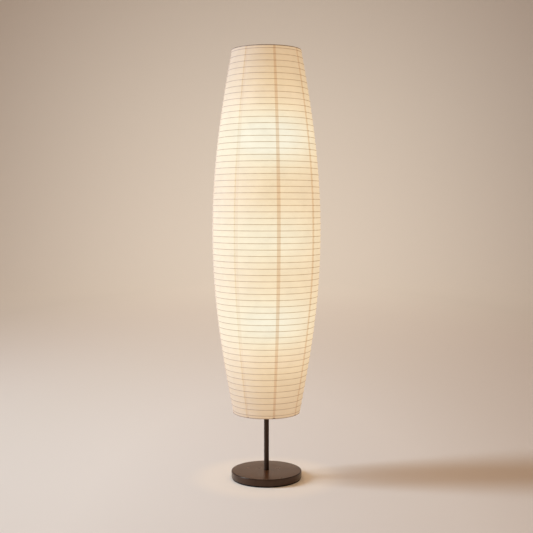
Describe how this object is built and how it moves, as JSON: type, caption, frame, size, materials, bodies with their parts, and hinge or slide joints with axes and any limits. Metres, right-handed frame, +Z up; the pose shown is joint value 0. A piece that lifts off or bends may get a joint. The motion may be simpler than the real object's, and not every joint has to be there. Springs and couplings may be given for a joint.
{
  "type": "paper lantern floor lamp",
  "caption": "Floor lamp with a tall barrel of ribbed white paper hung on a thin dark pole over a flat round foot, lit by opal bulbs inside.",
  "frame": {"origin": "centre of the foot, on the floor", "axes": "+Z up along the pole, -Y towards the side on which the bulbs stand, +X to the right seen from there"},
  "size_m": [0.3494, 0.3494, 1.38],
  "materials": {
    "foot_pad": "matt closed-cell foam",
    "cast_iron": "as cast, black primer",
    "brown_coat": "satin dark brown powder coat",
    "brass": "turned",
    "zinc_steel": "zinc plated",
    "black_nylon": "fine moulded grain",
    "white_plastic": "satin moulding",
    "lead_sheath": "satin",
    "holder_moulding": "satin thermoset moulding",
    "nickel_cap": "nickel plated",
    "opal_glow": "opal, lit warm white",
    "natural_nylon": "natural nylon",
    "shade_wire": "thin dark lacquer on steel wire",
    "lantern_paper": "unbleached mulberry paper, lit from inside"
  },
  "bodies": {
    "column": {"base_pad": "foot_pad", "base_weight": "cast_iron", "base_cover": "brown_coat", "base_nipple": "brass", "base_washer": "zinc_steel", "base_nut": "zinc_steel", "cord_gland": "black_nylon", "terminal_block": "white_plastic", "terminal_screws": "brass", "pocket_lid": "zinc_steel", "lid_screws": "zinc_steel", "pole_tube_1": "brown_coat", "pole_tube_2": "brown_coat", "pole_tube_3": "brown_coat", "pole_tube_4": "brown_coat", "pole_nipple_1": "brass", "pole_nipple_2": "brass", "pole_nipple_3": "brass", "top_stud": "zinc_steel", "wiring": "lead_sheath", "holder_arm_1": "brown_coat", "holder_arm_2": "brown_coat", "holder_arm_3": "brown_coat", "holder_nipples": "brass", "holder_nuts": "zinc_steel", "holder_body_1": "holder_moulding", "holder_body_2": "holder_moulding", "holder_body_3": "holder_moulding", "holder_shell_1": "brass", "holder_shell_2": "brass", "holder_shell_3": "brass", "holder_contact_1": "brass", "holder_contact_2": "brass", "holder_contact_3": "brass", "bottom_stay": "zinc_steel", "stay_screw": "zinc_steel"},
    "hub": {"hub_bush": "natural_nylon"},
    "shade": {"shade_spider": "shade_wire", "top_ring": "shade_wire", "bottom_ring": "shade_wire", "rib_hoops": "shade_wire", "paper_gore_1": "lantern_paper", "paper_gore_2": "lantern_paper", "paper_gore_3": "lantern_paper", "paper_gore_4": "lantern_paper", "paper_gore_5": "lantern_paper", "paper_gore_6": "lantern_paper", "paper_gore_7": "lantern_paper", "paper_gore_8": "lantern_paper"},
    "finial": {"finial_nut": "brown_coat"},
    "cap_1": {"bulb_cap_1": "nickel_cap"},
    "cap_2": {"bulb_cap_2": "nickel_cap"},
    "cap_3": {"bulb_cap_3": "nickel_cap"},
    "bulb_1": {"bulb_body_1": "white_plastic", "bulb_globe_1": "opal_glow"},
    "bulb_2": {"bulb_body_2": "white_plastic", "bulb_globe_2": "opal_glow"},
    "bulb_3": {"bulb_body_3": "white_plastic", "bulb_globe_3": "opal_glow"}
  },
  "joints": [
    {"name": "shade_lift", "type": "slide", "parent": "column", "child": "hub", "axis": [0, 0, 1], "range_m": [0, 1.17]},
    {"name": "shade_turn", "type": "hinge", "parent": "hub", "child": "shade", "pos_m": [0, 0, 1.352], "axis": [0, 0, 1], "continuous": true},
    {"name": "finial_turn", "type": "hinge", "parent": "hub", "child": "finial", "pos_m": [0, 0, 1.36], "axis": [0, 0, 1], "range_deg": [0, 4320]},
    {"name": "bulb_1_rise", "type": "slide", "parent": "column", "child": "cap_1", "axis": [0, 0, 1], "range_m": [0, 0.0254]},
    {"name": "bulb_2_rise", "type": "slide", "parent": "column", "child": "cap_2", "axis": [0, 0, 1], "range_m": [0, 0.0254]},
    {"name": "bulb_3_rise", "type": "slide", "parent": "column", "child": "cap_3", "axis": [0, 0, 1], "range_m": [0, 0.0254]},
    {"name": "bulb_1_turn", "type": "hinge", "parent": "cap_1", "child": "bulb_1", "pos_m": [0, -0.045, 0.524], "axis": [0, 0, 1], "range_deg": [0, 2538]},
    {"name": "bulb_2_turn", "type": "hinge", "parent": "cap_2", "child": "bulb_2", "pos_m": [0, -0.045, 0.776], "axis": [0, 0, 1], "range_deg": [0, 2538]},
    {"name": "bulb_3_turn", "type": "hinge", "parent": "cap_3", "child": "bulb_3", "pos_m": [0, -0.045, 1.072], "axis": [0, 0, 1], "range_deg": [0, 2538]}
  ],
  "couplings": [
    {"joint": "bulb_1_turn", "follows": "bulb_1_rise", "rad_per_m": 1731.6},
    {"joint": "bulb_2_turn", "follows": "bulb_2_rise", "rad_per_m": 1731.6},
    {"joint": "bulb_3_turn", "follows": "bulb_3_rise", "rad_per_m": 1731.6}
  ]
}
